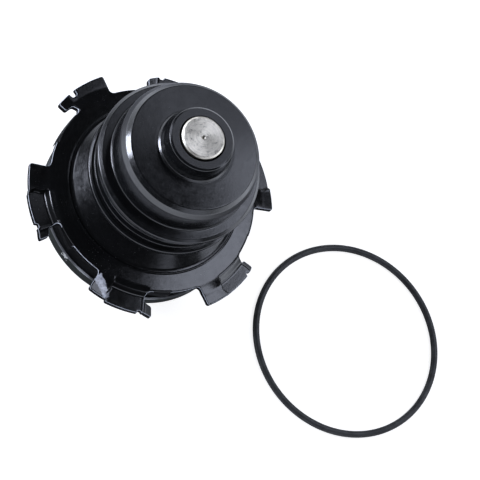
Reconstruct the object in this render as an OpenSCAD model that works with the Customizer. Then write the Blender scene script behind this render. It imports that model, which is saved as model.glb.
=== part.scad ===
// Twist-lock cartridge coolant pump: stamped housing with six bayonet tabs, belt pulley,
// integral-shaft bearing, face seal, impeller and a loose housing O-ring.
// Pump axis = Z, pulley up. z = 0 is the top edge of the pilot land, on the axis.

/* [Shaft] */
// Diameter of the pulley end of the shaft
shaft_d = 15.9; // [15.5:0.1:16.1]
// Diameter of the seal and impeller end of the shaft
rear_shaft_d = 12.7; // [12.3:0.1:13.1]
// Height of the shaft tip above the pilot land's top edge
tip_z = 67.7; // [67.2:0.1:68.5]

/* [Pulley] */
// Outer diameter of the press-fit collar round the shaft tip
collar_d = 23.8; // [22:0.2:25]
// Diameter of the flat face of the cap
face_d = 47; // [45:0.5:48]
// Diameter of the cap wall
cap_d = 52.4; // [52:0.2:53.4]
// Diameter of the front flange of the belt groove
front_flange_d = 61.6; // [60.5:0.2:63]
// Diameter over the ribs between the grooves
rib_d = 58.6; // [58:0.2:59.4]
// Diameter of the rear flange of the belt groove
rear_flange_d = 60.8; // [60:0.2:62]
// Number of V grooves
groove_count = 3; // [2:1:3]

/* [Housing] */
// Diameter of the housing's round rim between the tabs
rim_d = 79.8; // [79:0.2:81]
// Diameter over the tabs' leading ends
tab_d = 95; // [94:0.2:97]
// Diameter over the tabs' pads
pad_d = 95.2; // [94:0.2:97]
// Turn of all the tabs about the axis
tab_turn = 0; // [-5:0.5:5]
// Sheet thickness of the tabs
plate_t = 2.2; // [1.8:0.1:2.4]

/* [Pilot and seal carrier] */
// Diameter of the pilot land that centres the pump in its housing bore
pilot_d = 75.8; // [75:0.1:77]
// Height of the pilot land
pilot_h = 5.8; // [5:0.1:6.2]
// Diameter of the drum that carries the O-ring
drum_d = 73.2; // [72:0.2:74]

/* [O-ring] */
// Cord diameter
cord_d = 2.6; // [2.2:0.1:3.2]
// Outside diameter
oring_d = 77.9; // [76:0.1:80]

/* [Impeller] */
// Impeller diameter
impeller_d = 66; // [58:1:68]
// Number of vanes
vane_count = 7; // [5:1:8]

/* [Hidden] */
$fn = 96;
shaft_r = shaft_d / 2;
rear_r = rear_shaft_d / 2;
groove_pitch = 3.56;
groove_depth = 2.5;
rim_r = rim_d / 2;
tab_r = tab_d / 2;
pad_r = pad_d / 2;
pilot_r = pilot_d / 2;
drum_r = drum_d / 2;
floor_z = -16.3;
bearing_r = 15;
race_r = 12.2;
pitch_r = (shaft_r + race_r) / 2;
ball_r = 3;
ball_z = 44.7;
ball_count = 8;
roller_r = (race_r - shaft_r) / 2 - 0.02;
roller_z = 24;
roller_l = 9;
roller_count = 11;
ring_z0 = 14.7;
ring_z1 = 52.7;
step_z = 12;
// each tab's middle, leading edge, step line, pad end, and the middle and radius of its notch;
// the tab at 120 degrees is the narrower key tab
tabs = [
  [0, -14.2, -2.8, 15, 12.9, 1.2],
  [60, -15, -3, 15, 12.9, 1.2],
  [120, -17, -7, 4.2, 0.2, 1.7],
  [180, -17.5, -4.6, 13.2, 11.2, 1.2],
  [240, -12.6, -3.5, 15.6, 13.5, 1.2],
  [300, -15, -2.4, 15, 12.6, 1.2]
];
lead_top = 13.1;
pad_top = 11.3;
oring_x = 79.1;
oring_y = -57.5;

function on_circle(r, a) = [r * cos(a), r * sin(a)];

// a wedge of a flat ring from angle a0 to a1
module sector(r0, r1, a0, a1) {
  difference() {
    intersection() {
      circle(r = r1);
      polygon([[0, 0], on_circle(90, a0), on_circle(90, (a0 + a1) / 2), on_circle(90, a1)]);
    }
    circle(r = r0);
  }
}

// the concave fillet between the rim and a tab's radial edge; side is -1 or 1
module root_fillet(edge, side, rf) {
  d = rim_r + rf;
  turn = asin(rf / d);
  c = on_circle(d, edge + side * turn);
  difference() {
    polygon([
      on_circle(rim_r - 1, edge - side * 3),
      on_circle(rim_r - 0.2, edge + side * turn),
      c,
      on_circle(sqrt(d * d - rf * rf), edge - side * 0.3)
    ]);
    translate(c) circle(r = rf);
  }
}

// plan of a tab's leading end from a0 to a1, with its rounded outer corner
module lead_plan(a0, a1) {
  difference() {
    sector(rim_r - 2, tab_r, a0, a1 + 0.5);
    rotate(a0) translate([tab_r - 1.2, -0.01]) difference() {
      square([2.4, 1.3]);
      translate([0, 1.3]) circle(r = 1.2);
    }
  }
  root_fillet(a0, -1, 3);
}

// plan of a tab's pad, with the notch that frees the stop finger and the relief at its root
module pad_plan(a1, a2, notch_at, notch_r) {
  difference() {
    sector(rim_r - 2, pad_r, a1, a2);
    rotate(notch_at) translate([pad_r + 1.7 - 1.35 * notch_r, 0]) circle(r = notch_r);
    rotate(a2 + 0.4) translate([rim_r + 1.2, 0]) circle(r = 1.6);
  }
}

// section of a tab, from the rim down the joggle to its flat
module tab_section(r_out, run, top) {
  rotate_extrude() polygon([
    [rim_r - 1.6, 12.4], [rim_r - 1.6, 14.6], [rim_r - 0.4, 14.4], [rim_r + 0.4, 14.1],
    [rim_r + run, top], [r_out, top], [r_out, top - plate_t],
    [rim_r + run - 0.8, top - plate_t], [rim_r - 0.6, 12.0]
  ]);
}

// bent-down stop finger that ends a tab
module stop_finger(a2) {
  rotate([0, 0, a2 - 0.4]) translate([rim_r + 3.2, -0.6, pad_top - 0.05])
    rotate([-48, 0, 0]) translate([0, 0, -plate_t]) cube([4.2, 4.6, plate_t]);
}

// a0 leading edge, a1 step line, a2 end of the pad
module tab(a0, a1, a2, notch_at, notch_r) {
  intersection() {
    tab_section(tab_r, 3.2, lead_top);
    translate([0, 0, 5]) linear_extrude(12) lead_plan(a0, a1);
  }
  intersection() {
    tab_section(pad_r, 2.3, pad_top);
    translate([0, 0, 5]) linear_extrude(12) pad_plan(a1, a2, notch_at, notch_r);
  }
  stop_finger(a2);
}

module body_flange() {
  color([0.06, 0.06, 0.065]) {
    rotate_extrude() polygon([
      [15, 16], [17.4, 16], [17.4, 22.9], [18.3, 22.3], [25.4, 17.6], [30.9, 13.3],
      [32.4, 12.4], [rim_r - 0.4, 12.4], [rim_r, 12.8], [rim_r, 13.8], [rim_r - 0.6, 14.45],
      [33.2, 15.4], [31.9, 15.7], [26.6, 19.9], [19.4, 25.2], [17.4, 27.6],
      [17.4, 51.2], [16.6, 52], [15, 52]
    ]);
    for (t = tabs) rotate(t[0] + tab_turn) tab(t[1], t[2], t[3], t[4], t[5]);
  }
}

// drum, pilot land, seal boss and web of the pressed seal carrier
module back_plate() {
  color([0.33, 0.34, 0.33]) difference() {
    rotate_extrude() polygon([
      [17, -pilot_h], [pilot_r - 0.8, -pilot_h], [pilot_r, 0.8 - pilot_h], [pilot_r, 0],
      [pilot_r - 0.4, 0.4], [drum_r, 0.4], [drum_r, 12.4], [drum_r - 2, 12.4],
      [drum_r - 2, 2 - pilot_h], [19, 2 - pilot_h], [19, 8], [17, 8]
    ]);
    rotate([0, 0, 50]) translate([30, 0, 7]) rotate([0, 90, 0]) cylinder(r = 2, h = 12);
  }
}

module bearing_outer_ring() {
  color([0.72, 0.73, 0.75]) difference() {
    translate([0, 0, ring_z0]) cylinder(r = bearing_r, h = ring_z1 - ring_z0);
    translate([0, 0, ring_z0 - 1]) cylinder(r = race_r, h = ring_z1 - ring_z0 + 2);
    translate([0, 0, ball_z]) rotate_extrude() translate([pitch_r, 0]) circle(r = ball_r + 0.06);
  }
}

module lip_seal(z0) {
  rotate_extrude() polygon([
    [shaft_r + 0.06, z0 + 0.5], [shaft_r + 0.06, z0 + 0.9], [9.2, z0 + 1.7],
    [race_r, z0 + 1.7], [race_r, z0], [9.2, z0]
  ]);
}

module bearing_front_seal() {
  color([0.12, 0.12, 0.12]) lip_seal(50.5);
}

module bearing_rear_seal() {
  color([0.12, 0.12, 0.12]) lip_seal(15.2);
}

module pump_shaft() {
  color([0.78, 0.78, 0.76]) difference() {
    union() {
      translate([0, 0, step_z]) cylinder(r = shaft_r, h = tip_z - 0.6 - step_z);
      translate([0, 0, tip_z - 0.6]) cylinder(r1 = shaft_r, r2 = shaft_r - 0.6, h = 0.6);
      translate([0, 0, floor_z + 0.5]) cylinder(r = rear_r, h = step_z - floor_z);
    }
    translate([0, 0, ball_z]) rotate_extrude() translate([pitch_r, 0]) circle(r = ball_r + 0.06);
    translate([0, 0, tip_z - 1]) cylinder(r1 = 0.1, r2 = 0.9, h = 1.2);
  }
}

module bearing_balls() {
  color([0.8, 0.8, 0.82]) for (i = [0 : ball_count - 1])
    rotate(i * 360 / ball_count) translate([pitch_r, 0, ball_z]) sphere(r = ball_r);
}

module ball_cage() {
  color([0.55, 0.45, 0.3]) difference() {
    translate([0, 0, ball_z - 3.9]) cylinder(r = 11.4, h = 7.8);
    translate([0, 0, ball_z - 5]) cylinder(r = 8.8, h = 10);
    for (i = [0 : ball_count - 1])
      rotate(i * 360 / ball_count) translate([pitch_r, 0, ball_z]) sphere(r = ball_r + 0.07);
  }
}

module bearing_rollers() {
  color([0.8, 0.8, 0.82]) for (i = [0 : roller_count - 1])
    rotate(i * 360 / roller_count) translate([pitch_r, 0, roller_z - roller_l / 2])
      cylinder(r = roller_r, h = roller_l);
}

module roller_cage() {
  color([0.55, 0.45, 0.3]) difference() {
    translate([0, 0, roller_z - roller_l / 2 - 1.4]) cylinder(r = 11.3, h = roller_l + 2.8);
    translate([0, 0, roller_z - 10]) cylinder(r = 8.8, h = 20);
    for (i = [0 : roller_count - 1])
      rotate(i * 360 / roller_count)
        translate([pitch_r, 0, roller_z - roller_l / 2 - 0.05])
          cylinder(r = roller_r + 0.06, h = roller_l + 0.1);
  }
}

// section of the pulley shell without its grooves
module pulley_section() {
  cap_r = cap_d / 2;
  face_r = face_d / 2;
  front_r = front_flange_d / 2;
  rear_r2 = rear_flange_d / 2;
  polygon([
    [shaft_r, 54.6], [13.0, 54.6], [14.4, 56.1], [22.0, 56.1], [23.6, 55.2], [24.1, 53.6],
    [24.1, 50.2], [24.9, 49.4], [24.9, 28.6],
    [rear_r2 - 0.4, 28.6], [rear_r2, 29.1], [rear_r2, 30.2], [rear_r2 - 0.5, 31.0],
    [rib_d / 2 + 0.1, 31.2], [rib_d / 2, 31.4], [rib_d / 2, 40.2],
    [front_r - 0.4, 40.9], [front_r, 41.5], [front_r, 42.9], [front_r - 0.5, 43.7],
    [front_r - 1.3, 44.1], [cap_r + 0.6, 44.2], [cap_r + 0.1, 44.7],
    [cap_r, 50.3], [cap_r, 54.2], [cap_r - 0.4, 55.7], [cap_r - 1.2, 57.0],
    [face_r, 58.5], [15.2, 58.5], [13.6, 58.9], [12.7, 59.9],
    [collar_d / 2 + 0.2, 65.5], [collar_d / 2 - 0.2, 66.1], [collar_d / 2 - 0.6, 66.3],
    [shaft_r + 0.5, 66.3], [shaft_r, 65.8]
  ]);
}

// one 40 degree V groove, cut at height z
module vee_cut(z) {
  top = groove_pitch / 2 - 0.45;
  bottom = top - groove_depth * tan(20);
  polygon([
    [rib_d / 2 - groove_depth, z - bottom], [rib_d / 2 + 2, z - top - 2 * tan(20)],
    [rib_d / 2 + 2, z + top + 2 * tan(20)], [rib_d / 2 - groove_depth, z + bottom]
  ]);
}

module pulley() {
  color([0.05, 0.05, 0.055]) rotate_extrude() difference() {
    pulley_section();
    for (i = [0 : groove_count - 1]) vee_cut(39.28 - i * groove_pitch);
  }
}

module slinger() {
  color([0.2, 0.2, 0.2]) rotate_extrude() polygon([
    [shaft_r, 12.2], [13.6, 10.9], [13.6, 11.7], [9.4, 12.9], [9.4, 14.1], [shaft_r, 14.1]
  ]);
}

module seal_cup() {
  color([0.75, 0.62, 0.35]) rotate_extrude() polygon([
    [16.2, -4.5], [17, -4.5], [17, 8], [18.6, 8], [18.6, 8.6], [9.6, 8.6], [9.6, 7.8], [16.2, 7.8]
  ]);
}

module seal_bellows() {
  color([0.1, 0.1, 0.1]) rotate_extrude() polygon([
    [8.6, -0.7], [13, -0.7], [13, 0.5], [9.8, 0.5], [10.4, 2.4], [9.8, 4.4], [9.8, 6.6],
    [15.6, 6.6], [15.6, 7.8], [8.6, 7.8], [8.6, 4.4], [9.2, 2.4], [8.6, 0.5]
  ]);
}

// true helical wire: the level section of a coil, twisted up the axis
module seal_spring() {
  wire = 0.6;
  lead = 1.9;
  coil_r = 11.9;
  turns = 2.5;
  span = wire / lead * 360;
  steps = 5;
  color([0.75, 0.76, 0.78]) translate([0, 0, 0.55])
    linear_extrude(height = 6.0, twist = -360 * turns, slices = 50) polygon(concat(
      [for (i = [-steps : steps]) on_circle(
        coil_r + wire * sqrt(1 - pow(i / (steps + 0.4), 2)), i / steps * span / 2)],
      [for (i = [steps : -1 : -steps]) on_circle(
        coil_r - wire * sqrt(1 - pow(i / (steps + 0.4), 2)), i / steps * span / 2)]
    ));
}

module seal_carbon_ring() {
  color([0.16, 0.16, 0.17]) rotate_extrude() polygon([
    [8.2, -4.5], [11.2, -4.5], [11.2, -2.9], [13, -2.9], [13, -0.7], [8.2, -0.7]
  ]);
}

module mating_ring() {
  color([0.88, 0.86, 0.8]) difference() {
    translate([0, 0, -7.5]) cylinder(r = 12.9, h = 2.9);
    translate([0, 0, -8]) cylinder(r = 7.75, h = 4);
  }
}

module mating_boot() {
  color([0.1, 0.1, 0.1]) rotate_extrude() polygon([
    [rear_r, -8.2], [13.5, -8.2], [13.5, -7.5], [7.75, -7.5], [7.75, -5], [rear_r, -5]
  ]);
}

module impeller_hub() {
  color([0.6, 0.6, 0.6]) difference() {
    translate([0, 0, floor_z]) cylinder(r = 10.5, h = -8.2 - floor_z);
    translate([0, 0, floor_z - 1]) cylinder(r = rear_r, h = 12);
  }
}

module vane() {
  linear_extrude(-9.5 - floor_z) intersection() {
    translate([10, -17]) difference() {
      circle(r = 22);
      circle(r = 20.4);
    }
    difference() {
      circle(r = impeller_d / 2);
      circle(r = 12.5);
    }
    translate([0, 0]) square([40, 40]);
  }
}

module impeller_disc() {
  color([0.45, 0.46, 0.47]) {
    difference() {
      translate([0, 0, -9.7]) cylinder(r = impeller_d / 2, h = 1.5);
      translate([0, 0, -11]) cylinder(r = 10.5, h = 4);
    }
    for (i = [0 : vane_count - 1]) rotate(i * 360 / vane_count)
      translate([0, 0, floor_z]) vane();
  }
}

module o_ring() {
  color([0.14, 0.14, 0.14]) translate([oring_x, oring_y, floor_z + cord_d / 2])
    rotate_extrude() translate([(oring_d - cord_d) / 2, 0]) circle(r = cord_d / 2);
}

body_flange();
back_plate();
bearing_outer_ring();
bearing_front_seal();
bearing_rear_seal();
pump_shaft();
bearing_balls();
ball_cage();
bearing_rollers();
roller_cage();
pulley();
slinger();
seal_cup();
seal_bellows();
seal_spring();
seal_carbon_ring();
mating_ring();
mating_boot();
impeller_hub();
impeller_disc();
o_ring();
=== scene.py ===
"""Water pump with a three-rib pulley, a six-tab mounting flange and a loose O-ring.

Sections, radii and heights are in mm with the pump's axis on Z, and azimuths are in degrees.
Materials and lights are in metres.
"""

import math

import bpy
import numpy as np
from mathutils import Matrix, Vector, geometry


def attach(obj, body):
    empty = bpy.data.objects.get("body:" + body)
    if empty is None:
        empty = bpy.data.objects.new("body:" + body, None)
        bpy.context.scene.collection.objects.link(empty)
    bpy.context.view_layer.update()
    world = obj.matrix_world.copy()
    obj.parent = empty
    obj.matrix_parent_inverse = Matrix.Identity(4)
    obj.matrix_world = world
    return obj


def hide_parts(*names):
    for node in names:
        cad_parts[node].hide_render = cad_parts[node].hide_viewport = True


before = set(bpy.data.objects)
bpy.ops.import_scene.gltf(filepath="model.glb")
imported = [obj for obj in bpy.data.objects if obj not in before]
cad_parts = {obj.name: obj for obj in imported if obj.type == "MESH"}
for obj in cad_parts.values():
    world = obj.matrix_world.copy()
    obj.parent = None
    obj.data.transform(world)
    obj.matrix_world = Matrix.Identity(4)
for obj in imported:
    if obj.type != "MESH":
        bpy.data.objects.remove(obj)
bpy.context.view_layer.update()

MM = 0.001
TURN = 2 * math.pi
SEGMENTS = 288


def wrap(angle):
    """The same angle between -pi and pi."""
    return (angle + math.pi) % TURN - math.pi


# ---------------------------------------------------------------- sections and lathes


def rounded(corners, closed=True, step=14.0):
    """Rounds a section's corners. Each corner is (r, z) or (r, z, fillet), in mm."""
    pts = [Vector((c[0], c[1])) for c in corners]
    fillets = [c[2] if len(c) > 2 else 0.0 for c in corners]
    n = len(pts)
    out = []
    for i, p in enumerate(pts):
        if fillets[i] <= 0 or (not closed and i in (0, n - 1)):
            out.append((p.x, p.y))
            continue
        a, b = pts[i - 1] - p, pts[(i + 1) % n] - p
        la, lb = a.length, b.length
        a, b = a / la, b / lb
        angle = math.acos(max(-1.0, min(1.0, a.dot(b))))
        turn = math.pi - angle
        if turn < 0.02:
            out.append((p.x, p.y))
            continue
        reach = min(fillets[i] * math.tan(turn / 2), 0.48 * la, 0.48 * lb)
        radius = reach / math.tan(turn / 2)
        centre = p + (a + b).normalized() * (radius / math.sin(angle / 2))
        start, end = p + a * reach, p + b * reach
        steps = max(2, int(math.degrees(turn) / step + 0.5))
        a0 = math.atan2(start.y - centre.y, start.x - centre.x)
        a1 = math.atan2(end.y - centre.y, end.x - centre.x)
        sweep = wrap(a1 - a0)
        for k in range(steps + 1):
            t = a0 + sweep * k / steps
            out.append((centre.x + radius * math.cos(t), centre.y + radius * math.sin(t)))
    return out


def signed_area(section):
    """Twice a closed section's area, positive where its points run anticlockwise."""
    return sum(section[i - 1][0] * section[i][1] - section[i][0] * section[i - 1][1]
               for i in range(len(section)))


def section_normals(section, closed=True):
    """Outward normal of each section point; long sides count for more than short ones."""
    n = len(section)
    side = 1.0 if signed_area(section) > 0 else -1.0
    normals = []
    for i in range(n):
        total = Vector((0.0, 0.0))
        for j, k in ((i - 1, i), (i, (i + 1) % n)):
            if not closed and (j < 0 or k == 0):
                continue
            d = Vector(section[k]) - Vector(section[j])
            total += Vector((d.y, -d.x)) * d.length
        normals.append(total.normalized() * side if total.length else Vector((1.0, 0.0)))
    return normals


def smooth_mesh(name, verts, faces, normals=None):
    """A smooth-shaded mesh from vertices in mm, with its own shading normals where given."""
    mesh = bpy.data.meshes.new(name)
    mesh.from_pydata([(x * MM, y * MM, z * MM) for x, y, z in verts], [], faces)
    mesh.update()
    mesh.shade_smooth()
    if normals:
        mesh.normals_split_custom_set_from_vertices(normals)
    return mesh


def link(data, name):
    obj = bpy.data.objects.new(name, data)
    bpy.context.scene.collection.objects.link(obj)
    return obj


def lathe(name, section, segments=SEGMENTS, centre=(0, 0, 0)):
    """A solid of revolution about Z from a closed section, with exact shading normals."""
    n = len(section)
    anticlockwise = signed_area(section) > 0
    section_out = section_normals(section)
    verts, normals, faces = [], [], []
    for s in range(segments):
        a = TURN * s / segments
        ca, sa = math.cos(a), math.sin(a)
        for (r, z), m in zip(section, section_out):
            verts.append((r * ca + centre[0], r * sa + centre[1], z + centre[2]))
            normals.append((m.x * ca, m.x * sa, m.y))
    for s in range(segments):
        t = (s + 1) % segments
        for i in range(n):
            j = (i + 1) % n
            if section[i][0] < 1e-6 and section[j][0] < 1e-6:
                continue
            face = (s * n + i, t * n + i, t * n + j, s * n + j)
            faces.append(face if anticlockwise else face[::-1])
    return link(smooth_mesh(name, verts, faces, normals), name)


ON_WALL, WINDOW_MARGIN = 0.01, 0.6


def drill(obj, azimuth, z, radius, outer, inner, count=40):
    """Cuts a round radial hole through a lathe's plain wall, given the wall's two radii.

    The faces about the hole are taken out of both sides of the wall, each opening is filled
    again around a circle, and a bore joins the two circles.
    """
    mid = math.radians(azimuth)
    verts = [tuple(v.co / MM) for v in obj.data.vertices]
    by_vertex = {loop.vertex_index: tuple(loop.normal) for loop in obj.data.loops}
    normals = [by_vertex[i] for i in range(len(verts))]
    faces, windows = [], {outer: [], inner: []}
    for face in obj.data.polygons:
        corners = [verts[i] for i in face.vertices]
        heights = [c[2] for c in corners]
        hit = None
        for wall in windows:
            on_wall = all(abs(math.hypot(x, y) - wall) < ON_WALL for x, y, _ in corners)
            off = min(abs(wrap(math.atan2(y, x) - mid)) for x, y, _ in corners) * wall
            if on_wall and off < radius + WINDOW_MARGIN and min(heights) < z < max(heights):
                hit = wall
        if hit:
            windows[hit].append(list(face.vertices))
        else:
            faces.append(tuple(face.vertices))
    angles = [TURN * k / count for k in range(count)]
    rims = {}
    for wall, quads in windows.items():
        edges = {(a, b): True for quad in quads for a, b in zip(quad, quad[1:] + quad[:1])}
        border = {a: b for a, b in edges if (b, a) not in edges}
        ring = [next(iter(border))]
        while border[ring[-1]] != ring[0]:
            ring.append(border[ring[-1]])
        flat = [(wrap(math.atan2(verts[i][1], verts[i][0]) - mid) * wall, verts[i][2] - z)
                for i in ring]
        rim, circle = [], []
        sign = 1 if wall == outer else -1
        for a in angles:
            across, up = math.asin(radius * math.cos(a) / wall), radius * math.sin(a)
            turn = mid + across
            rim.append(len(verts))
            verts.append((wall * math.cos(turn), wall * math.sin(turn), z + up))
            normals.append((sign * math.cos(turn), sign * math.sin(turn), 0.0))
            circle.append((across * wall, up))
        ids = ring + rim
        n = len(ring)
        bounds = [(i, (i + 1) % n) for i in range(n)]
        bounds += [(n + i, n + (i + 1) % count) for i in range(count)]
        points = [Vector(p) for p in flat + circle]
        for tri in geometry.delaunay_2d_cdt(points, bounds, [], 1, 1e-6, False)[2]:
            if all(i >= n for i in tri):
                continue
            (ax, ay), (bx, by), (cx, cy) = (points[i] for i in tri)
            anticlockwise = (bx - ax) * (cy - ay) - (by - ay) * (cx - ax) > 0
            if anticlockwise != (wall == outer):
                tri = tri[::-1]
            faces.append(tuple(ids[i] for i in tri))
        rims[wall] = rim
    bore = {}
    for wall, rim in rims.items():
        bore[wall] = []
        for i, a in zip(rim, angles):
            bore[wall].append(len(verts))
            verts.append(verts[i])
            normals.append((math.sin(mid) * math.cos(a), -math.cos(mid) * math.cos(a), -math.sin(a)))
    for k in range(count):
        t = (k + 1) % count
        faces.append((bore[outer][k], bore[outer][t], bore[inner][t], bore[inner][k]))
    obj.data = smooth_mesh(obj.name, verts, faces, normals)


# ---------------------------------------------------------------- the flange plate with its tabs

RIM_R, TAB_R, PLATE_JOIN_R = 39.9, 47.5, 36.0
FINGER_TIP_R, FINGER_R, FINGER_FOOT_R = 43.3, 43.0, 40.6
EDGE = 0.34
EDGE_DEPTHS = (0.03, 0.1, 0.2, EDGE)
GRID_STEP, GRID_RINGS, DOUBLED_FROM, TRIPLED_FROM = 0.42, 28, 38.6, 39.9
FOLD_SLOPE = math.tan(math.radians(42))
STEEP_TABS = (180, 240)
SAG, LEAD_RISE = 0.45, 0.75


def polar(r, deg):
    a = math.radians(deg)
    return Vector((r * math.cos(a), r * math.sin(a)))


def arc(centre, radius, start, end, step=0.32):
    """Points on the shorter arc about centre from start to end, both on the circle."""
    a0 = math.atan2(start.y - centre.y, start.x - centre.x)
    a1 = math.atan2(end.y - centre.y, end.x - centre.x)
    sweep = wrap(a1 - a0)
    n = max(3, int(abs(sweep) * radius / step + 0.5))
    return [centre + Vector((math.cos(a0 + sweep * k / n), math.sin(a0 + sweep * k / n))) * radius
            for k in range(n + 1)]


def round_corners(corners, step=0.32):
    """An open 2D path of (point, fillet) with its corners rounded."""
    out = []
    for i, (p, fillet) in enumerate(corners):
        if fillet <= 0 or i in (0, len(corners) - 1):
            out.append(p)
            continue
        a, b = corners[i - 1][0] - p, corners[i + 1][0] - p
        la, lb = a.length, b.length
        a, b = a / la, b / lb
        angle = math.acos(max(-1.0, min(1.0, a.dot(b))))
        reach = min(fillet / math.tan(angle / 2), 0.48 * la, 0.48 * lb)
        radius = reach * math.tan(angle / 2)
        centre = p + (a + b).normalized() * (radius / math.sin(angle / 2))
        out += arc(centre, radius, p + a * reach, p + b * reach, step)
    return out


def rim_arc(a0, a1, r=RIM_R, step=0.9):
    n = max(1, int(abs(a1 - a0) / step + 0.5))
    return [(polar(r, a0 + (a1 - a0) * k / n), 0.0) for k in range(n + 1)]


class Tab:
    """One bayonet tab: a raised lead, a step down to a pad, a notch, and a finger past its end.

    Angles are measured from the tab's middle.
    """

    def __init__(self, middle, lead, step, end, notch_at, notch_r, notch_depth, finger):
        self.middle, self.lead, self.step, self.end = middle, lead, step, end
        self.notch_at, self.notch_r, self.notch_depth = notch_at, notch_r, notch_depth
        self.finger = finger

    def outline(self):
        """Corners (point, fillet) from the rim before the tab to the rim after it."""
        lead, end = self.middle + self.lead, self.middle + self.end
        notch = self.middle + self.notch_at
        half = math.degrees(self.notch_r / TAB_R)
        path = [(polar(RIM_R, lead - 4.6), 0.0), (polar(RIM_R + 0.02, lead - 0.1), 3.0),
                (polar(TAB_R, lead), 1.3)]
        path += rim_arc(lead + 2.2, notch - half - 0.5, TAB_R)
        path += [(polar(TAB_R, notch - half), 0.35),
                 (polar(TAB_R - self.notch_depth, notch - half * 0.8), 0.6),
                 (polar(TAB_R - self.notch_depth, notch + half * 0.8), 0.6),
                 (polar(TAB_R - 0.25, notch + half), 0.35),
                 (polar(TAB_R - 0.25, end + self.finger), 0.8),
                 (polar(FINGER_TIP_R, end + self.finger), 0.8),
                 (polar(FINGER_R, end + 0.5), 0.8),
                 (polar(FINGER_FOOT_R, end + 0.1), 0.8),
                 (polar(RIM_R, end + 1.6), 0.9),
                 (polar(RIM_R, end + 3.2), 0.0)]
        return path


# middle, lead, step, end, notch_at, notch_r, notch_depth, finger
TABS = [
    Tab(0, -14.2, -2.8, 15.0, 12.9, 0.95, 1.0, 3.4),
    Tab(60, -15.0, -3.0, 15.0, 12.9, 0.95, 1.0, 3.4),
    Tab(120, -17.0, 40.0, 4.2, 0.2, 1.4, 2.2, 3.4),
    Tab(180, -17.5, -4.6, 13.2, 11.2, 0.95, 1.0, 3.8),
    Tab(240, -12.6, -3.5, 14.8, 13.0, 0.8, 0.9, 5.4),
    Tab(300, -15.0, -2.4, 15.0, 12.6, 0.8, 0.9, 3.2),
]


def plate_outline():
    """The plate's outer edge as a closed loop of points less than a millimetre apart."""
    corners = []
    for i, tab in enumerate(TABS):
        corners += tab.outline()
        following = TABS[(i + 1) % len(TABS)]
        stop = following.middle + following.lead - 4.6 + (360 if i + 1 == len(TABS) else 0)
        corners += rim_arc(tab.middle + tab.end + 3.9, stop - 0.8)
    path = round_corners(corners + [corners[0]])[:-1]
    dense = []
    for i, p in enumerate(path):
        q = path[(i + 1) % len(path)]
        n = max(1, int((q - p).length / 0.5))
        dense += [p.lerp(q, k / n) for k in range(n)]
    return np.array([(p.x, p.y) for p in dense])


def distance_to(points, loop):
    """Distance of each point to a closed loop of 2D points."""
    a, b = loop, np.roll(loop, -1, axis=0)
    d = b - a
    dd = (d * d).sum(1)
    best = np.full(len(points), 1e9)
    for start in range(0, len(points), 1000):
        p = points[start:start + 1000, None, :]
        t = np.clip(((p - a) * d).sum(2) / dd, 0, 1)
        gap = p - (a + t[..., None] * d)
        best[start:start + 1000] = np.sqrt((gap * gap).sum(2).min(1))
    return best


def within(points, loop):
    """Which of the points lie inside a closed loop."""
    inside = np.zeros(len(points), bool)
    for (ax, ay), (bx, by) in zip(loop, np.roll(loop, -1, axis=0)):
        crosses = (ay > points[:, 1]) != (by > points[:, 1])
        if crosses.any():
            inside[crosses] ^= points[crosses, 0] < (bx - ax) * (points[crosses, 1] - ay) / (by - ay) + ax
    return inside


def smooth_step(x):
    x = np.clip(x, 0, 1)
    return x * x * (3 - 2 * x)


def soft_corner(x):
    """Turns from 0 to a slope of 1 about x = 0."""
    return 0.5 * (x + np.sqrt(x * x + 0.12))


def soft_profile(r, knots, width=0.42):
    """A bent sheet's height at radius r: straight runs between knots, joined by bends."""
    xs, zs = zip(*knots)
    total = 0
    for k in (-1, -0.5, 0, 0.5, 1):
        total = total + np.interp(r + k * width, xs, zs)
    return total / 5


LEAD_TOP = [(35.0, 15.12), (39.6, 14.4), (40.4, 14.15), (43.2, 13.1), (48.0, 12.95)]
LEAD_BOTTOM = [(35.0, 12.4), (39.2, 12.4), (39.8, 12.1), (42.6, 10.95), (48.0, 10.8)]
PAD_TOP = [(35.0, 15.12), (39.6, 14.4), (40.3, 14.0), (42.7, 11.35), (48.0, 11.25)]
PAD_BOTTOM = [(35.0, 12.4), (39.0, 12.4), (39.5, 12.0), (41.7, 9.15), (48.0, 9.05)]
STEEP_TOP = [(35.0, 15.12), (39.6, 14.4), (40.3, 14.1), (41.2, 11.4), (48.0, 11.25)]
STEEP_BOTTOM = [(35.0, 12.4), (38.2, 12.4), (38.6, 12.0), (39.4, 9.15), (48.0, 9.05)]


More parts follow.
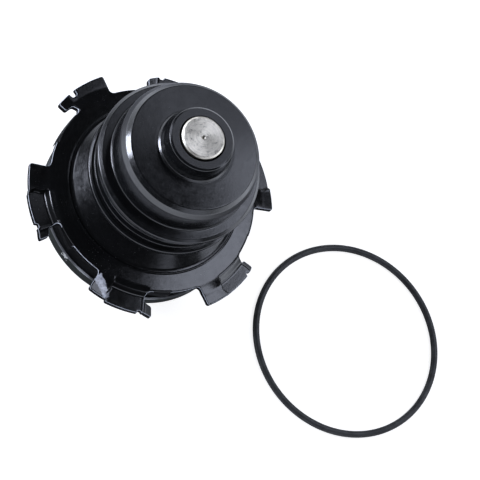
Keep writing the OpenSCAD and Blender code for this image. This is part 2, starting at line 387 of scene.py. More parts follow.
def plate_heights(x, y):
    """Top and bottom of the plate without the rounding of its edges."""
    r = np.hypot(x, y)
    az = np.degrees(np.arctan2(y, x))
    top = soft_profile(r, LEAD_TOP)
    bottom = soft_profile(r, LEAD_BOTTOM)
    for tab in TABS:
        steep = tab.middle in STEEP_TABS
        pad_top = soft_profile(r, STEEP_TOP, 0.25) if steep else soft_profile(r, PAD_TOP)
        pad_bottom = soft_profile(r, STEEP_BOTTOM, 0.25) if steep else soft_profile(r, PAD_BOTTOM)
        a = (az - tab.middle + 180) % 360 - 180
        here = np.abs(a) < 28
        flat_end = min(tab.step - 2, 0)
        along = np.clip((flat_end - a) / (flat_end - tab.lead), 0, 1)
        rise = LEAD_RISE * smooth_step((r - 40.2) / 4) * along
        step_at = tab.step - 0.9 * np.exp(-((r - 44.9) / 1.2) ** 2)
        to_pad = smooth_step((a - step_at) / 1.1 + 0.5)
        drop = FOLD_SLOPE * soft_corner(np.radians(a - tab.end + 0.2) * r)
        t = (top + rise) * (1 - to_pad) + pad_top * to_pad - drop
        b = (bottom + rise) * (1 - to_pad) + pad_bottom * to_pad - drop - 0.5 * smooth_step(drop)
        outside = smooth_step((r - 39.6) / 0.8)
        sag = 0
        if steep:
            sag = SAG * smooth_step((r - 37.9) / 1.9) * to_pad * smooth_step((tab.end + 1.2 - a) / 2.4)
        top = np.where(here, top * (1 - outside) + t * outside - sag, top)
        bottom = np.where(here, bottom * (1 - outside) + b * outside - sag, bottom)
    return top, bottom


def plate_mesh():
    """Plan points, triangles and the top and bottom heights of the plate outside its join."""
    loop = plate_outline()
    tangent = np.roll(loop, -1, axis=0) - np.roll(loop, 1, axis=0)
    inward = np.stack([-tangent[:, 1], tangent[:, 0]], 1)
    inward /= np.linalg.norm(inward, axis=1)[:, None]
    rows = []
    for depth in EDGE_DEPTHS:
        row = loop + inward * depth
        rows.append(row[distance_to(row, loop) > depth * 0.93])
    step = TURN / SEGMENTS
    join = np.array([(PLATE_JOIN_R * math.cos(k * step), PLATE_JOIN_R * math.sin(k * step))
                     for k in range(SEGMENTS)])
    grid = []
    for ring in range(1, GRID_RINGS + 1):
        r = PLATE_JOIN_R + GRID_STEP * ring
        count = SEGMENTS * (1 if r < DOUBLED_FROM else 3 if r > TRIPLED_FROM else 2)
        a = (np.arange(count) + 0.5 * (ring % 2)) * 2 * math.pi / count
        grid.append(np.stack([r * np.cos(a), r * np.sin(a)], 1))
    grid = np.concatenate(grid)
    grid = grid[within(grid, loop)]
    grid = grid[distance_to(grid, loop) > EDGE + 0.22]
    points = np.concatenate([join, loop] + rows + [grid])
    nj, nl = len(join), len(loop)
    edges = [(i, (i + 1) % nj) for i in range(nj)] + [(nj + i, nj + (i + 1) % nl) for i in range(nl)]
    verts, _, faces, _, _, _ = geometry.delaunay_2d_cdt(
        [Vector(p) for p in points], edges, [], 1, 1e-5, False)
    plan = np.array([(v.x, v.y) for v in verts])
    centres = np.array([plan[list(f)].mean(0) for f in faces])
    keep = (np.hypot(centres[:, 0], centres[:, 1]) > PLATE_JOIN_R - 0.002) & within(centres, loop)
    tris = [f for f, k in zip(faces, keep) if k]
    depth = np.minimum(distance_to(plan, loop), EDGE)
    lowered = EDGE - np.sqrt(np.maximum(EDGE ** 2 - (EDGE - depth) ** 2, 0))
    top, bottom = plate_heights(plan[:, 0], plan[:, 1])
    return plan, tris, top - lowered, bottom + lowered


def flange(name):
    """The stamped flange: neck and dish turned as a lathe, then the plate with its six tabs."""
    section = rounded([
        (PLATE_JOIN_R, 12.4), (32.4, 12.4, 1.2), (30.9, 13.3, 1.5), (25.4, 17.6, 6), (18.3, 22.3, 2),
        (17.4, 22.9, 0.4), (17.4, 16, 0.3), (15, 16, 0.2), (15, 52, 0.2), (16.6, 52, 0.3),
        (17.4, 51.2, 0.4), (17.4, 27.6, 3.0), (19.4, 25.2, 3.0), (26.6, 19.9, 14), (31.6, 15.75, 2.0),
        (32.5, 15.5, 0.3), (33.0, 15.62, 0.3), (33.5, 15.36, 0.4), (PLATE_JOIN_R, 14.964)],
        closed=False, step=9)
    plan, tris, top, bottom = plate_mesh()
    on_join = [math.hypot(x, y) < PLATE_JOIN_R + 0.01 for x, y in plan]
    n = len(section)
    verts, faces = [], []
    for s in range(SEGMENTS):
        a = 2 * math.pi * s / SEGMENTS
        verts += [(r * math.cos(a), r * math.sin(a), z) for r, z in section]
    for s in range(SEGMENTS):
        t = (s + 1) % SEGMENTS
        faces += [(s * n + i, s * n + i + 1, t * n + i + 1, t * n + i) for i in range(n - 1)]
    top_id, bottom_id = [], []
    for k, (x, y) in enumerate(plan):
        if on_join[k]:
            s = round(math.atan2(y, x) / TURN * SEGMENTS) % SEGMENTS
            top_id.append(s * n + n - 1)
            bottom_id.append(s * n)
        else:
            top_id.append(len(verts))
            verts.append((x, y, top[k]))
            bottom_id.append(len(verts))
            verts.append((x, y, bottom[k]))
    sides = {}
    for f in tris:
        (ax, ay), (bx, by), (cx, cy) = plan[f[0]], plan[f[1]], plan[f[2]]
        if (bx - ax) * (cy - ay) - (by - ay) * (cx - ax) < 0:
            f = (f[0], f[2], f[1])
        faces.append(tuple(top_id[i] for i in f))
        faces.append(tuple(bottom_id[i] for i in reversed(f)))
        for u, v in ((f[0], f[1]), (f[1], f[2]), (f[2], f[0])):
            sides[(u, v)] = True
    for u, v in sides:
        if (v, u) not in sides and not (on_join[u] and on_join[v]):
            faces.append((top_id[u], bottom_id[u], bottom_id[v], top_id[v]))
    mesh = smooth_mesh(name, verts, faces)
    normals = [tuple(v.vector) for v in mesh.vertex_normals]
    turned = section_normals(section, closed=False)
    for s in range(SEGMENTS):
        a = 2 * math.pi * s / SEGMENTS
        for i, m in enumerate(turned):
            normals[s * n + i] = (m.x * math.cos(a), m.x * math.sin(a), m.y)
    mesh.normals_split_custom_set_from_vertices(normals)
    return link(mesh, name)


SIDES_FROM_R, TABS_FROM_R = 39, 40.2
RIM_SIDE_NZ, TAB_SIDE_NZ = 0.25, 0.58
# width of the painted highlight along the plate's top edge
HIGHLIGHT_WIDTH = 0.6 * EDGE


def mark_edges(obj, sawn, painted_line):
    """Gives the flange's sides one material, and a thin painted highlight line along its top edge another.
    """
    obj.data.materials.append(sawn)
    obj.data.materials.append(painted_line)
    for face in obj.data.polygons:
        r = math.hypot(*(face.center / MM)[:2])
        if r >= SIDES_FROM_R and face.normal.z < (TAB_SIDE_NZ if r > TABS_FROM_R else RIM_SIDE_NZ):
            face.material_index = 1
    # top faces next to the outline get the painted highlight
    on_rim = [f for f in obj.data.polygons
              if f.normal.z >= RIM_SIDE_NZ and math.hypot(*f.center[:2]) > SIDES_FROM_R * MM]
    gaps = distance_to(np.array([f.center[:2] for f in on_rim]) / MM, plate_outline())
    for face, gap in zip(on_rim, gaps):
        if gap < HIGHLIGHT_WIDTH:
            face.material_index = 2


# ---------------------------------------------------------------- materials


class Finish:
    """A node material under construction; coordinates are the object's own, in metres."""

    def __init__(self, name, **sockets):
        self.mat = bpy.data.materials.new(name)
        self.mat.use_nodes = True
        self.tree = self.mat.node_tree
        self.bsdf = self.tree.nodes["Principled BSDF"]
        for key, value in sockets.items():
            self.bsdf.inputs[key.replace("_", " ")].default_value = value
        self.place = self.add("ShaderNodeTexCoord").outputs["Object"]

    def add(self, kind, inputs=(), **props):
        node = self.tree.nodes.new(kind)
        for key, value in props.items():
            setattr(node, key, value)
        for key, value in dict(inputs).items():
            if isinstance(value, bpy.types.NodeSocket):
                self.tree.links.new(value, node.inputs[key])
            else:
                node.inputs[key].default_value = value
        return node

    def math(self, operation, a, b=0.0):
        return self.add("ShaderNodeMath", {0: a, 1: b}, operation=operation).outputs[0]

    def noise(self, scale, detail=4.0, roughness=0.55, vector=None, distortion=0.0):
        return self.add("ShaderNodeTexNoise", {
            "Vector": vector or self.place, "Scale": scale, "Detail": detail,
            "Roughness": roughness, "Distortion": distortion}).outputs["Fac"]

    def remap(self, value, low, high, to_low, to_high):
        return self.add("ShaderNodeMapRange", {
            "Value": value, "From Min": low, "From Max": high,
            "To Min": to_low, "To Max": to_high}).outputs["Result"]

    def mix(self, factor, a, b):
        return self.add("ShaderNodeMix", {"Factor": factor, 6: a, 7: b}, data_type="RGBA").outputs[2]

    def vector(self, operation, *values):
        return self.add("ShaderNodeVectorMath", dict(enumerate(values)), operation=operation)

    def offset(self, point):
        """Vector from a point on the piece."""
        return self.vector("SUBTRACT", self.place, point).outputs[0]

    def radius(self):
        """Distance from the Z axis."""
        flat = self.vector("MULTIPLY", self.place, (1, 1, 0)).outputs[0]
        return self.vector("LENGTH", flat).outputs["Value"]

    def height(self):
        return self.add("ShaderNodeSeparateXYZ", {0: self.place}).outputs["Z"]

    def rings(self, pitch, share_z=0.7):
        """Turning marks: noise that changes only across the axis, one mark per pitch."""
        along = self.math("ADD", self.radius(), self.math("MULTIPLY", self.height(), share_z))
        return self.add("ShaderNodeTexNoise", {
            "W": along, "Scale": 1 / pitch, "Detail": 3.0, "Roughness": 0.7},
            noise_dimensions="1D").outputs["Fac"]

    def bump(self, height, distance, normal=None):
        node = self.add("ShaderNodeBump", {"Height": height, "Distance": distance, "Strength": 1.0})
        if normal:
            self.tree.links.new(normal, node.inputs["Normal"])
        return node.outputs["Normal"]

    def set(self, **links):
        for key, value in links.items():
            self.tree.links.new(value, self.bsdf.inputs[key.replace("_", " ")])
        return self.mat


def grey(v, blue=0.0):
    return (v, v * (1 + 0.3 * blue), v * (1 + blue), 1.0)


# x, y, half length and half width of a patch of painted highlight on a tab, its skew, and the place of a
# painted highlight spot on the land
PAINTED_HIGHLIGHT_PATCH = (-0.0268, -0.0347, 0.0042, 0.0015)
PATCH_SKEW = math.radians(35)
# place of a small painted highlight spot on the land
LAND_HIGHLIGHT_AT = (-0.03346, -0.01779, -0.0012)


def painted_highlight_patch(f, colour, x, y, half_length, half_width):
    """Adds a ragged pale patch of painted highlight, lying aslant across a tab's lead."""
    at = f.offset((x, y, 0))
    ragged = f.math("MULTIPLY", f.math("SUBTRACT", f.noise(260, 4, 0.6), 0.5), 0.003)
    turn = math.atan2(y, x) - PATCH_SKEW
    inside = 1.0
    for axis, half in (((-math.sin(turn), math.cos(turn), 0), half_length),
                       ((math.cos(turn), math.sin(turn), 0), half_width)):
        across = f.vector("DOT_PRODUCT", at, axis).outputs["Value"]
        across = f.math("ADD", f.math("ABSOLUTE", across), ragged)
        inside = f.math("MULTIPLY", inside, f.remap(across, half - 0.0002, half + 0.0002, 1, 0))
    # painted highlight: pale steel-grey colour inside the patch
    steel = f.mix(f.remap(f.noise(700, 4, 0.65), 0.4, 0.62, 0, 1),
                  (0.66, 0.68, 0.74, 1), (0.36, 0.37, 0.41, 1))
    return f.mix(inside, colour, steel)


def black_paint(name, base, rough, marks, dust, specular=0.5, patch=None):
    """Satin black coat with a fine peel, dust specks, handling marks and faint turning marks.

    patch is the x, y, half length and half width of a painted highlight laid on the coat.
    """
    f = Finish(name, Metallic=0.0, Specular_IOR_Level=specular, Coat_Weight=0.3 * specular,
               Coat_Roughness=0.16)
    cloud = f.noise(70, 3)
    haze = f.noise(420, 5, 0.65, distortion=0.6)
    colour = f.mix(f.remap(cloud, 0.35, 0.65, 0, 1), grey(base, 0.12), grey(base * 1.7, 0.2))
    colour = f.mix(f.remap(haze, 0.55, 0.75, 0, 0.35), colour, grey(base * 3.2, 0.1))
    speck = f.remap(f.noise(2600, 2, 0.5), 0.70 - dust, 0.76 - dust, 0, 1)
    dusty = f.remap(f.noise(55, 3, 0.6), 0.45, 0.62, 0, 1)
    specks = f.math("MULTIPLY", speck, dusty)
    colour = f.mix(f.math("MULTIPLY", specks, 0.5), colour, (0.15, 0.15, 0.155, 1))
    roughness = f.math("ADD", f.remap(haze, 0.3, 0.75, rough - 0.04, rough + 0.1),
                       f.math("MULTIPLY", specks, 0.3))
    peel = f.bump(f.noise(1100, 3, 0.5), 0.000018)
    turned = f.bump(f.rings(0.0005), marks, peel)
    # lays a painted highlight patch where one is given
    if patch:
        colour = painted_highlight_patch(f, colour, *patch)
    return f.set(Base_Color=colour, Roughness=roughness, Normal=turned)


def painted_edge_highlight(name):
    """Pale steel-grey painted highlight along an edge, broken by black in places."""
    f = Finish(name, Metallic=0.0, Specular_IOR_Level=0.5)
    # painted highlight: pale steel-grey colour along the edge, with black gaps
    bare = f.mix(f.remap(f.noise(500, 3), 0.35, 0.7, 0, 1), (0.42, 0.44, 0.48, 1), (0.26, 0.275, 0.3, 1))
    highlight_gaps = f.remap(f.noise(75, 4, 0.6), 0.6, 0.7, 0.0, 0.9)
    return f.set(Base_Color=f.mix(highlight_gaps, bare, grey(0.003)),
                 Roughness=f.remap(f.noise(700, 3), 0.3, 0.7, 0.3, 0.5),
                 Normal=f.bump(f.noise(1500, 3), 0.00002))


def carrier_paint(name):
    """Black coat above the land's top edge, a painted highlight line along that edge, bare grey-green metal
    below, and a small painted highlight spot on the land.
    """
    f = Finish(name, Metallic=0.0, Specular_IOR_Level=0.08)
    cloud = f.noise(90, 4, 0.6, distortion=0.4)
    bare = f.mix(f.remap(cloud, 0.35, 0.7, 0, 1), (0.015, 0.0168, 0.015, 1), (0.024, 0.027, 0.0235, 1))
    bare = f.mix(f.remap(f.noise(1500, 3), 0.62, 0.74, 0, 0.6), bare, (0.008, 0.008, 0.007, 1))
    coat = f.mix(f.remap(cloud, 0.4, 0.7, 0, 1), grey(0.002), grey(0.0045, 0.2))
    wobble = f.math("MULTIPLY", f.noise(300, 3), 0.0003)
    low = f.math("ADD", f.height(), wobble)
    above = f.remap(low, -0.0003, -0.00015, 0, 1)
    # painted highlight: a pale line along the land's top edge, broken in places
    painted_edge_line = f.math("MULTIPLY", above, f.remap(f.math("ADD", f.radius(), wobble), 0.0374, 0.0375, 0, 1))
    painted_edge_line = f.math("MULTIPLY", painted_edge_line, f.remap(f.noise(60, 3), 0.38, 0.5, 1, 0.25))
    colour = f.mix(painted_edge_line, f.mix(above, bare, coat), (0.42, 0.43, 0.44, 1))
    # painted highlight: a small ragged pale spot on the land
    land_glint = f.vector("LENGTH", f.offset(LAND_HIGHLIGHT_AT)).outputs["Value"]
    land_glint = f.math("ADD", land_glint, f.math("MULTIPLY", f.noise(600, 3), 0.006))
    colour = f.mix(f.remap(land_glint, 0.0038, 0.0043, 1, 0), colour, (0.4, 0.4, 0.38, 1))
    roughness = f.math("ADD", f.remap(f.noise(300, 4), 0.3, 0.7, 0.38, 0.55),
                       f.math("MULTIPLY", above, 0.1))
    return f.set(Base_Color=colour, Roughness=roughness, Normal=f.bump(f.rings(0.0004), 0.000002))


def turned_steel(name, base, rough, pitch, depth, stain):
    """Bare steel turned on a lathe: rings, a darker bloom and small stains."""
    f = Finish(name, Metallic=1.0, Anisotropic=0.55)
    rings = f.rings(pitch, 0.9)
    broad = f.rings(pitch * 3.2, 0.9)
    bloom = f.noise(330, 5, 0.65, distortion=1.2)
    blot = f.math("MULTIPLY", f.remap(f.noise(1100, 5, 0.7), 0.5, 0.68, 0, stain),
                  f.remap(bloom, 0.45, 0.62, 0, 1))
    colour = f.mix(f.remap(bloom, 0.35, 0.7, 0, 1), grey(base, -0.18), grey(base * 0.66, -0.2))
    colour = f.mix(f.remap(broad, 0.35, 0.65, 0, 0.55), colour, grey(min(1.0, base * 1.25), -0.15))
    colour = f.mix(f.remap(rings, 0.4, 0.7, 0, 0.4), colour, grey(base * 0.5, -0.15))
    colour = f.mix(blot, colour, (0.1, 0.094, 0.085, 1))
    roughness = f.math("ADD", f.remap(broad, 0.3, 0.7, rough - 0.06, rough + 0.1),
                       f.math("MULTIPLY", blot, 0.3))
    around = f.add("ShaderNodeTangent", direction_type="RADIAL", axis="Z").outputs[0]
    return f.set(Base_Color=colour, Roughness=roughness, Normal=f.bump(rings, depth), Tangent=around)


def rubber(name, base, rough, bloom):
    """Moulded rubber with a fine matt grain and a little grey bloom."""
    f = Finish(name, Metallic=0.0, Specular_IOR_Level=0.42, Sheen_Weight=0.12, Sheen_Roughness=0.5)
    cloud = f.noise(160, 4, 0.6)
    colour = f.mix(f.remap(cloud, 0.4, 0.7, 0, bloom), grey(base), (0.09, 0.093, 0.094, 1))
    colour = f.mix(f.remap(f.noise(3200, 2), 0.68, 0.78, 0, 0.5), colour, (0.13, 0.13, 0.13, 1))
    roughness = f.remap(f.noise(500, 4), 0.3, 0.7, rough - 0.07, rough + 0.1)
    return f.set(Base_Color=colour, Roughness=roughness, Normal=f.bump(f.noise(2400, 3, 0.6), 0.00004))


def sheet_metal(name, base, rough, tint=(1, 1, 1)):
    """Pressed sheet: rolled streaks, soft stains and rubbed patches."""
    f = Finish(name, Metallic=1.0)
    stretched = f.add("ShaderNodeMapping", {"Vector": f.place, "Scale": (60, 900, 900)}).outputs[0]
    streak = f.noise(1.0, 4, 0.6, vector=stretched)
    cloud = f.noise(120, 4, 0.6, distortion=0.5)
    light = tuple(base * t for t in tint) + (1,)
    dark = tuple(base * 0.62 * t for t in tint) + (1,)
    rubbed = tuple(min(1, base * 1.25 * t) for t in tint) + (1,)
    colour = f.mix(f.remap(cloud, 0.35, 0.68, 0, 1), light, dark)
    colour = f.mix(f.remap(streak, 0.55, 0.75, 0, 0.4), colour, rubbed)
    roughness = f.remap(streak, 0.3, 0.7, rough - 0.07, rough + 0.1)
    grain = f.bump(streak, 0.00002)
    return f.set(Base_Color=colour, Roughness=roughness, Normal=f.bump(f.noise(900, 3), 0.00002, grain))


def fired(name, base, rough, grain):
    """Sintered ceramic or carbon: even, fine-grained, lapped."""
    f = Finish(name, Metallic=0.0)
    cloud = f.noise(200, 4)
    fine = f.noise(4200, 2)
    colour = f.mix(f.remap(cloud, 0.35, 0.7, 0, 1), base, tuple(c * 0.82 for c in base[:3]) + (1,))
    colour = f.mix(f.remap(fine, 0.6, 0.75, 0, 0.4), colour, tuple(c * grain for c in base[:3]) + (1,))
    roughness = f.remap(cloud, 0.3, 0.7, rough - 0.05, rough + 0.08)
    return f.set(Base_Color=colour, Roughness=roughness, Normal=f.bump(f.rings(0.0004), 0.000004))


BLACK_PULLEY = black_paint("pulley_black", 0.0026, 0.19, 0.0000015, -0.02)
# the flange's coat carries a painted highlight patch on the tab at 240 degrees
BLACK_FLANGE = black_paint("flange_black", 0.0016, 0.17, 0.0000005, 0.0, patch=PAINTED_HIGHLIGHT_PATCH)
BLACK_SAWN = black_paint("flange_black_edges", 0.0012, 0.5, 0.0000005, 0.0, specular=0.05)
# painted highlight for the flange's top edge
EDGE_HIGHLIGHT = painted_edge_highlight("flange_painted_edge_highlight")
CARRIER = carrier_paint("carrier_coat")
SHAFT = turned_steel("shaft_turned", 0.72, 0.40, 0.0003, 0.000005, 0.9)
GROUND = turned_steel("bearing_ground", 0.62, 0.2, 0.0002, 0.000002, 0.25)
O_RUBBER = rubber("o_ring_rubber", 0.016, 0.46, 0.4)
SEAL_RUBBER = rubber("seal_rubber", 0.012, 0.5, 0.2)
BRASS = sheet_metal("cup_brass", 0.72, 0.3, (1.0, 0.8, 0.42))
CAGE = sheet_metal("cage_brass", 0.6, 0.36, (1.0, 0.8, 0.45))
SPRING = sheet_metal("spring_steel", 0.66, 0.24)
IMPELLER = sheet_metal("impeller_steel", 0.46, 0.34)
CARBON = fired("carbon_graphite", (0.03, 0.03, 0.032, 1), 0.32, 1.8)
CERAMIC = fired("ceramic_white", (0.8, 0.77, 0.69, 1), 0.25, 0.7)


def fit(obj, material, body, slot, *nodes):
    """Gives a new piece its material and body, and lets it stand for its CAD nodes. slot is not used."""
    obj.data.materials.clear()
    obj.data.materials.append(material)
    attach(obj, body)
    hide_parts(*nodes)


def refinish(node, material):
    """Gives a CAD node that keeps its shape a better material."""
    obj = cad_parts[node]
    if not obj.material_slots:
        obj.data.materials.append(material)
    for held in obj.material_slots:
        held.material = material


# ---------------------------------------------------------------- the pulley and the shaft

GROOVE_PITCH, GROOVE_DEPTH, RIB_R = 3.56, 2.5, 29.3
GROOVE_CENTRES = (32.16, 35.72, 39.28)
SHAFT_R, REAR_R, FLOOR_Z, TIP_Z = 7.95, 6.35, -16.3, 67.7


def groove(z):
    """Corners of one 40 degree belt groove, from its lower edge to its upper edge."""
    half = GROOVE_PITCH / 2 - 0.45
    foot = half - GROOVE_DEPTH * math.tan(math.radians(20))
    return [(RIB_R, z - half, 0.28), (RIB_R - GROOVE_DEPTH, z - foot, 0.3),
            (RIB_R - GROOVE_DEPTH, z + foot, 0.3), (RIB_R, z + half, 0.28)]


pulley_corners = [
    (7.95, 54.6, 0.3), (13.0, 54.6, 1.0), (14.4, 56.1, 1.0), (22.0, 56.1, 1.0), (23.6, 55.2, 0.8),
    (24.1, 53.6, 0.8), (24.1, 50.2, 0.4), (24.9, 49.4, 0.4), (24.9, 28.6, 0.3),
    (30.4, 28.6, 0.5), (30.4, 30.6, 0.7), (29.35, 31.3, 0.2)]
for centre_z in GROOVE_CENTRES:
    pulley_corners += groove(centre_z)
pulley_corners += [
    (29.3, 40.55, 0.2), (30.4, 40.9, 0.3), (30.8, 41.5, 0.5), (30.8, 42.9, 0.8), (29.5, 44.05, 0.5),
    (26.25, 44.25, 0.7), (26.2, 54.2, 2.0), (25.0, 56.55, 1.4), (23.5, 58.2, 0.7),
    (15.0, 58.7, 2.0), (13.9, 58.72, 0.4), (13.2, 59.5, 0.5), (12.6, 61.5, 2.0), (12.05, 65.8, 0.5),
    (11.3, 66.3, 0.35), (8.6, 66.3, 0.15), (8.35, 65.0), (7.97, 65.0)]
pulley = lathe("pulley_shell", rounded(pulley_corners, step=10), 360)
fit(pulley, BLACK_PULLEY, "rotor", "black_paint", "pulley")

shaft = lathe("shaft_body", rounded([
    (0.0, FLOOR_Z + 0.5), (REAR_R, FLOOR_Z + 0.5, 0.5), (REAR_R, 12.0, 0.2), (SHAFT_R, 12.0, 0.3),
    (SHAFT_R, 41.8, 0.1), (7.15, 43.1, 0.5), (7.02, 44.7, 1.5), (7.15, 46.3, 0.5), (SHAFT_R, 47.6, 0.1),
    (SHAFT_R, 67.05, 0.15), (7.3, TIP_Z, 0.18), (6.6, 67.68, 0.1), (2.6, 67.62, 0.3), (0.9, 67.55, 0.1),
    (0.0, 66.8)]), 192)
fit(shaft, SHAFT, "rotor", "shaft_steel", "pump_shaft")

# ---------------------------------------------------------------- the flange and the drum behind it

flange_plate = flange("flange_shell")
fit(flange_plate, BLACK_FLANGE, "housing", "black_paint", "body_flange")
mark_edges(flange_plate, BLACK_SAWN, EDGE_HIGHLIGHT)

DRUM_OUT, DRUM_IN = 36.6, 34.6
WEEP_AZ, WEEP_Z, WEEP_R = 50, 7.0, 2.0
carrier = lathe("seal_carrier", rounded([
    (17, -5.8, 0.6), (37.1, -5.8, 0.5), (37.9, -5.0, 0.4), (37.9, 0.15, 0.25), (DRUM_OUT, 0.5, 0.25),
    (DRUM_OUT, 12.38, 0.1), (DRUM_IN, 12.38, 0.1), (DRUM_IN, -3.8, 0.8), (19, -3.8, 0.8), (19, 8, 0.3),
    (17, 8, 0.3)]))
drill(carrier, WEEP_AZ, WEEP_Z, WEEP_R, DRUM_OUT, DRUM_IN)
fit(carrier, CARRIER, "housing", "carrier_steel", "back_plate")

# ---------------------------------------------------------------- bearing and seal inside

# piece, section corners, material, body, slot, CAD node
turned_parts = [
    ("slinger_ring", [(7.95, 12.2), (13.6, 10.9, 0.2), (13.6, 11.7, 0.2), (9.4, 12.9, 0.4),
                      (9.4, 14.1, 0.2), (7.95, 14.1, 0.2)],
     SEAL_RUBBER, "rotor", "seal_rubber", "slinger"),
    ("cup_shell", [(16.2, -4.5, 0.2), (17, -4.5, 0.2), (17, 8, 0.2), (18.6, 8, 0.2), (18.6, 8.6, 0.2),
                   (9.6, 8.6, 0.4), (9.6, 7.8, 0.2), (16.2, 7.8, 0.8)],
     BRASS, "housing", "cup_brass", "seal_cup"),
    ("bellows_skin", [(8.6, -0.7, 0.2), (13, -0.7, 0.2), (13, 0.5, 0.3), (9.8, 0.5, 0.5), (10.4, 2.4, 1.2),
                      (9.8, 4.4, 1.0), (9.8, 6.6, 0.6), (15.6, 6.6, 0.3), (15.6, 7.8, 0.3), (8.6, 7.8, 0.3),
                      (8.6, 4.4, 1.0), (9.2, 2.4, 1.2), (8.6, 0.5, 0.5)],
     SEAL_RUBBER, "housing", "seal_rubber", "seal_bellows"),
    ("carbon_face", [(8.2, -4.5, 0.15), (11.2, -4.5, 0.15), (11.2, -2.9, 0.3), (13, -2.9, 0.3),
                     (13, -0.7, 0.2), (8.2, -0.7, 0.2)],
     CARBON, "housing", "carbon", "seal_carbon_ring"),
    ("ceramic_seat", [(7.75, -7.5, 0.2), (12.9, -7.5, 0.3), (12.9, -4.6, 0.25), (7.75, -4.6, 0.25)],
     CERAMIC, "rotor", "ceramic", "mating_ring"),
    ("seat_boot", [(6.35, -8.2, 0.2), (13.5, -8.2, 0.2), (13.5, -7.5, 0.2), (7.75, -7.5, 0.1),
                   (7.75, -5, 0.2), (6.35, -5, 0.3)],
     SEAL_RUBBER, "rotor", "seal_rubber", "mating_boot"),
    ("bearing_ring", [(15, 14.7, 0.5), (15, 52.7, 0.5), (12.2, 52.7, 0.4), (12.2, 47.35), (12.9, 46.2, 0.8),
                      (13.13, 44.7, 1.2), (12.9, 43.2, 0.8), (12.2, 42.05), (12.2, 14.7, 0.4)],
     GROUND, "housing", "bearing_steel", "bearing_outer_ring"),
    ("front_lip_seal", [(8.01, 51.0), (8.01, 51.4), (9.2, 52.2, 0.2), (12.2, 52.2, 0.2),
                        (12.2, 50.5, 0.2), (9.2, 50.5, 0.4)],
     SEAL_RUBBER, "housing", "seal_rubber", "bearing_front_seal"),
    ("rear_lip_seal", [(8.01, 15.7), (8.01, 16.1), (9.2, 16.9, 0.2), (12.2, 16.9, 0.2),
                       (12.2, 15.2, 0.2), (9.2, 15.2, 0.4)],
     SEAL_RUBBER, "housing", "seal_rubber", "bearing_rear_seal"),
    ("hub_sleeve", [(6.35, -16.3, 0.3), (10.5, -16.3, 0.6), (10.5, -8.2, 0.4), (6.35, -8.2, 0.3)],
     GROUND, "rotor", "bearing_steel", "impeller_hub"),
]
for piece, corners, material, body, slot, node in turned_parts:
    fit(lathe(piece, rounded(corners), 144), material, body, slot, node)

refinish("bearing_balls", GROUND)
refinish("bearing_rollers", GROUND)
refinish("ball_cage", CAGE)
refinish("roller_cage", CAGE)
refinish("seal_spring", SPRING)

# ---------------------------------------------------------------- the impeller


VANES, VANE_HALF, VANE_STATIONS, VANE_END_THIN = 7, 0.8, 26, 0.55
VANE_CENTRE, VANE_BEND_R = Vector((10.0, -17.0)), 21.2
VANE_START, VANE_STOP, VANE_SAMPLES = math.radians(96.0), math.radians(15.0), 200
VANE_INNER_R, VANE_OUTER_R, VANE_FOOT_Z = 12.7, 32.8, -9.5


def vane_point(turn, off=0.0):
    return VANE_CENTRE + Vector((math.cos(turn), math.sin(turn))) * (VANE_BEND_R + off)


def vane_range():
    """The first and last angle, about the bend's centre, that lie between a vane's two radii."""
    held = []
    for k in range(VANE_SAMPLES):
        t = VANE_START + (VANE_STOP - VANE_START) * k / (VANE_SAMPLES - 1)
        p = vane_point(t)
        if VANE_INNER_R < p.length < VANE_OUTER_R and p.x > 0 and p.y > 0:
            held.append(t)
    return held[0], held[-1]


def impeller_vanes(name):
    """Seven curved vanes that stand on the disc's open side."""
    half, foot, crown = VANE_HALF, VANE_FOOT_Z, FLOOR_Z
    profile = [(-half, foot), (-half, crown + 0.35), (-half + 0.1, crown + 0.1), (-half + 0.35, crown),
               (half - 0.35, crown), (half - 0.1, crown + 0.1), (half, crown + 0.35), (half, foot)]
    first, last = vane_range()
    m, end = len(profile), VANE_STATIONS - 1
    verts, faces = [], []
    for vane in range(VANES):
        spin = Matrix.Rotation(vane * TURN / VANES, 2)
        base = len(verts)
        for k in range(VANE_STATIONS):
            t = first + (last - first) * k / end
            thin = 1.0 if 0 < k < end else VANE_END_THIN
            for off, z in profile:
                p = spin @ vane_point(t, off * thin)
                verts.append((p.x, p.y, z))
        for k in range(end):
            for i in range(m - 1):
                a, b = base + k * m + i, base + (k + 1) * m + i
                faces.append((a, a + 1, b + 1, b))
        faces.append(tuple(base + i for i in reversed(range(m))))
        faces.append(tuple(base + end * m + i for i in range(m)))
    mesh = smooth_mesh(name, verts, faces)
    mesh.set_sharp_from_angle(angle=math.radians(50))
    return link(mesh, name)


disc = lathe("impeller_plate", rounded([
    (10.5, -9.7, 0.2), (33, -9.7, 0.5), (33, -8.2, 0.5), (10.5, -8.2, 0.2)]), 216)
blades = impeller_vanes("impeller_plate_vanes")
fit(disc, IMPELLER, "rotor", "impeller_steel", "impeller_disc")
blades.data.materials.append(IMPELLER)
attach(blades, "rotor")

# ---------------------------------------------------------------- the O-ring

CORD_R, RING_R, RING_CENTRE = 1.3, 37.65, (79.1, -57.5, FLOOR_Z + 1.3)
cord_section = []
for k in range(32):
    a = 2 * math.pi * (k + 0.5) / 32
    cord_section.append((RING_R + CORD_R * math.cos(a), CORD_R * math.sin(a)))
o_ring = lathe("o_ring_cord", cord_section, 320, RING_CENTRE)
fit(o_ring, O_RUBBER, "loose_o_ring", "oring_rubber", "o_ring")

# ---------------------------------------------------------------- camera, floor and light

RIGHT = Vector((0.9104, -0.2018, 0.3611))
UP = Vector((0.0805, 0.9427, 0.3239))
BACK = Vector((-0.4058, -0.2658, 0.8745))
CAMERA_AT = Vector((-0.3161, -0.2490, 0.7602))
TARGET = Vector((0.03, -0.02, 0.02))
FLOOR_REACH = 12.0


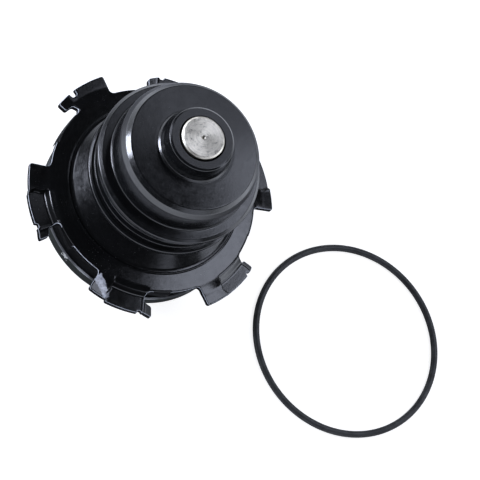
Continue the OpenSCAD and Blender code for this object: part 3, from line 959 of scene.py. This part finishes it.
def placed(x, y, z, at):
    """The matrix that puts an object at a point with the given axes."""
    return Matrix(((x.x, y.x, z.x, at.x), (x.y, y.y, z.y, at.y), (x.z, y.z, z.z, at.z), (0, 0, 0, 1)))


camera_data = bpy.data.cameras.new("camera")
camera_data.sensor_width = 36.0
camera_data.lens = 172.1
camera_data.clip_start, camera_data.clip_end = 0.05, 50.0
camera = link(camera_data, "camera")
camera.matrix_world = placed(RIGHT, UP, BACK, CAMERA_AT)
bpy.context.scene.camera = camera

floor_mesh = bpy.data.meshes.new("floor")
floor_mesh.from_pydata([(x * FLOOR_REACH, y * FLOOR_REACH, FLOOR_Z * MM)
                        for x, y in ((-1, -1), (1, -1), (1, 1), (-1, 1))], [], [(0, 1, 2, 3)])
floor = link(floor_mesh, "floor")

# The camera sees the floor white; reflections see it grey by the pump and bright further out.
pale = Finish("pale_floor", Roughness=0.9, Specular_IOR_Level=0.1)
pale.set(Base_Color=pale.mix(pale.noise(3, 2), (0.56, 0.56, 0.56, 1), (0.6, 0.6, 0.6, 1)))
far = pale.remap(pale.radius(), 0.2, 0.42, 0.0, 2.6)
glow = pale.add("ShaderNodeEmission", {"Color": (0.84, 0.89, 1, 1), "Strength": far}).outputs[0]
white = pale.add("ShaderNodeEmission", {"Color": (1, 1, 1, 1), "Strength": 0.86}).outputs[0]
seen = pale.add("ShaderNodeLightPath").outputs["Is Camera Ray"]
pick = pale.add("ShaderNodeMixShader", {0: seen, 1: glow, 2: white}).outputs[0]
both = pale.add("ShaderNodeAddShader", {0: pale.bsdf.outputs[0], 1: pick})
pale.tree.links.new(both.outputs[0], pale.tree.nodes["Material Output"].inputs["Surface"])
floor_mesh.materials.append(pale.mat)


def camera_axes(v):
    """A direction given in the camera's own axes, as a world direction."""
    return (RIGHT * v[0] + UP * v[1] + BACK * v[2]).normalized()


def softbox(name, direction, along, distance, length, width, radiance):
    """An area light facing the part; direction and along are in the camera's axes."""
    z = camera_axes(direction)
    x = camera_axes(along)
    x = (x - z * x.dot(z)).normalized()
    data = bpy.data.lights.new(name, "AREA")
    data.shape, data.size, data.size_y = "RECTANGLE", length, width
    data.energy = radiance * math.pi * length * width
    data.color = (0.79, 0.84, 1.0)
    link(data, name).matrix_world = placed(x, z.cross(x), z, TARGET + z * distance)


# name, direction and long side in camera axes, distance, length, width, radiance
BOXES = [
    ("left_strip", (-0.80, 0.41, 0.44), (-0.04, -0.27, 0.23), 0.7, 0.28, 0.13, 42.0),
    ("upper_left_fill", (-0.49, 0.72, 0.49), (-0.08, -0.18, 0.22), 0.7, 0.26, 0.16, 6.0),
    ("right_softbox", (0.78, 0.33, 0.53), (-0.05, 0.3, -0.4), 0.7, 0.44, 0.27, 4.3),
    ("right_low_box", (0.96, -0.22, 0.14), (0.1, 0.6, 0.6), 0.7, 0.30, 0.16, 3.0),
    ("top_fill", (0.53, 0.68, 0.50), (1, 0, 0), 0.7, 0.20, 0.18, 1.5),
    ("front_card", (0.2, -0.82, 0.52), (1, 0, 0), 0.8, 0.90, 0.22, 1.4),
]
for box in BOXES:
    softbox(*box)

# The sky is bright at the horizon and nearly black overhead.
world = bpy.data.worlds.new("studio")
world.use_nodes = True
tree = world.node_tree
direction = tree.nodes.new("ShaderNodeTexCoord")
split = tree.nodes.new("ShaderNodeSeparateXYZ")
fade = tree.nodes.new("ShaderNodeMapRange")
fade.inputs["From Min"].default_value, fade.inputs["From Max"].default_value = 0.08, 0.24
fade.inputs["To Min"].default_value, fade.inputs["To Max"].default_value = 2.2, 0.04
tree.links.new(direction.outputs["Generated"], split.inputs[0])
tree.links.new(split.outputs["Z"], fade.inputs["Value"])
tree.links.new(fade.outputs["Result"], tree.nodes["Background"].inputs["Strength"])
tree.nodes["Background"].inputs["Color"].default_value = (0.84, 0.89, 1.0, 1)
bpy.context.scene.world = world
bpy.context.scene.view_settings.view_transform = "Standard"
